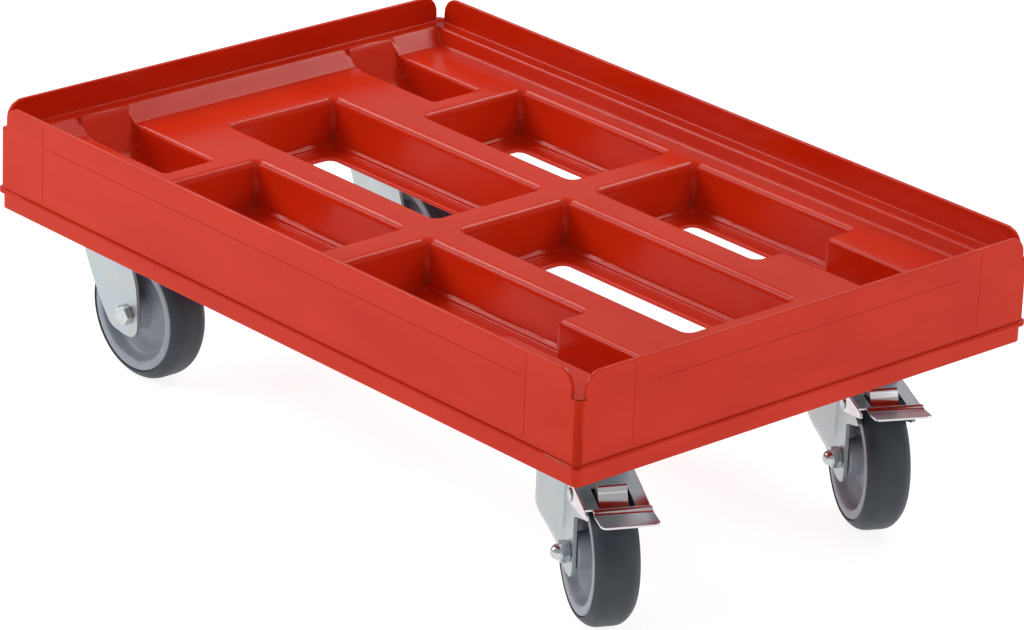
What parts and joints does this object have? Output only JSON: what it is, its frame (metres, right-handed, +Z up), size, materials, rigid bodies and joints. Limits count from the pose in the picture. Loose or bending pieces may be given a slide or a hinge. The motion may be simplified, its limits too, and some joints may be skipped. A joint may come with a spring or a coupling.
{
  "type": "platform trolley",
  "caption": "Low platform trolley: a moulded plastic deck with a shallow rim and slotted pockets, on fixed castors at one end and swivelling, braked castors at the other.",
  "frame": {"origin": "on the floor, under the centre of the overall bounding box (10.4 mm from the middle of the deck, because the brake pedals reach past it)", "axes": "+X towards the end with the swivelling castors, +Y to the left side, +Z up"},
  "size_m": [0.6236, 0.4078, 0.2],
  "materials": {
    "deck_plastic": "glossy orange-red moulding with fine scuffs",
    "zinc_plate": "bright zinc plating on pressed sheet",
    "bright_steel": "turned and plated fasteners",
    "pedal_chrome": "polished plated sheet",
    "grey_plastic": "satin light grey moulding",
    "dark_rubber": "satin slate grey rubber"
  },
  "bodies": {
    "trolley_deck": {"deck": "deck_plastic", "fixed_left_axle_bolt": "bright_steel", "fixed_left_axle_nut": "bright_steel", "fixed_left_axle_sleeve": "bright_steel", "fixed_left_fork": "zinc_plate", "fixed_left_screw_1": "zinc_plate", "fixed_left_screw_2": "zinc_plate", "fixed_left_screw_3": "zinc_plate", "fixed_left_screw_4": "zinc_plate", "fixed_right_axle_bolt": "bright_steel", "fixed_right_axle_nut": "bright_steel", "fixed_right_axle_sleeve": "bright_steel", "fixed_right_fork": "zinc_plate", "fixed_right_screw_1": "zinc_plate", "fixed_right_screw_2": "zinc_plate", "fixed_right_screw_3": "zinc_plate", "fixed_right_screw_4": "zinc_plate", "swivel_left_ball_race": "zinc_plate", "swivel_left_kingpin": "bright_steel", "swivel_left_screw_1": "zinc_plate", "swivel_left_screw_2": "zinc_plate", "swivel_left_screw_3": "zinc_plate", "swivel_left_screw_4": "zinc_plate", "swivel_left_top_plate": "zinc_plate", "swivel_right_ball_race": "zinc_plate", "swivel_right_kingpin": "bright_steel", "swivel_right_screw_1": "zinc_plate", "swivel_right_screw_2": "zinc_plate", "swivel_right_screw_3": "zinc_plate", "swivel_right_screw_4": "zinc_plate", "swivel_right_top_plate": "zinc_plate"},
    "fixed_left_wheel": {"fixed_left_tyre": "dark_rubber", "fixed_left_wheel_centre": "grey_plastic"},
    "fixed_right_wheel": {"fixed_right_tyre": "dark_rubber", "fixed_right_wheel_centre": "grey_plastic"},
    "swivel_left_head": {"swivel_left_axle_bolt": "bright_steel", "swivel_left_axle_nut": "bright_steel", "swivel_left_axle_sleeve": "bright_steel", "swivel_left_fork": "zinc_plate", "swivel_left_pedal_rivet_1": "bright_steel", "swivel_left_pedal_rivet_2": "bright_steel"},
    "swivel_left_pedal": {"swivel_left_brake_pedal": "pedal_chrome", "swivel_left_brake_shoe": "pedal_chrome"},
    "swivel_left_wheel": {"swivel_left_tyre": "dark_rubber", "swivel_left_wheel_centre": "grey_plastic"},
    "swivel_right_head": {"swivel_right_axle_bolt": "bright_steel", "swivel_right_axle_nut": "bright_steel", "swivel_right_axle_sleeve": "bright_steel", "swivel_right_fork": "zinc_plate", "swivel_right_pedal_rivet_1": "bright_steel", "swivel_right_pedal_rivet_2": "bright_steel"},
    "swivel_right_pedal": {"swivel_right_brake_pedal": "pedal_chrome", "swivel_right_brake_shoe": "pedal_chrome"},
    "swivel_right_wheel": {"swivel_right_tyre": "dark_rubber", "swivel_right_wheel_centre": "grey_plastic"}
  },
  "joints": [
    {"name": "fixed_left_roll", "type": "hinge", "parent": "trolley_deck", "child": "fixed_left_wheel", "pos_m": [-0.2409, 0.123, 0.05], "axis": [0, 1, 0], "continuous": true},
    {"name": "fixed_right_roll", "type": "hinge", "parent": "trolley_deck", "child": "fixed_right_wheel", "pos_m": [-0.2409, -0.123, 0.05], "axis": [0, 1, 0], "continuous": true},
    {"name": "swivel_left_turn", "type": "hinge", "parent": "trolley_deck", "child": "swivel_left_head", "pos_m": [0.2131, 0.123, 0.113], "axis": [0, 0, 1], "continuous": true},
    {"name": "swivel_left_roll", "type": "hinge", "parent": "swivel_left_head", "child": "swivel_left_wheel", "pos_m": [0.24766, 0.10493, 0.05], "axis": [0.4633, 0.8862, 0], "continuous": true},
    {"name": "swivel_left_brake", "type": "hinge", "parent": "swivel_left_head", "child": "swivel_left_pedal", "pos_m": [0.25121, 0.10308, 0.0915], "axis": [-0.4633, -0.8862, 0], "range_deg": [-9.5, 0]},
    {"name": "swivel_right_turn", "type": "hinge", "parent": "trolley_deck", "child": "swivel_right_head", "pos_m": [0.2131, -0.123, 0.113], "axis": [0, 0, 1], "continuous": true},
    {"name": "swivel_right_roll", "type": "hinge", "parent": "swivel_right_head", "child": "swivel_right_wheel", "pos_m": [0.248, -0.1404, 0.05], "axis": [0.4462, 0.8949, 0], "continuous": true},
    {"name": "swivel_right_brake", "type": "hinge", "parent": "swivel_right_head", "child": "swivel_right_pedal", "pos_m": [0.25158, -0.14219, 0.0915], "axis": [-0.4462, -0.8949, 0], "range_deg": [0, 9.5]}
  ]
}
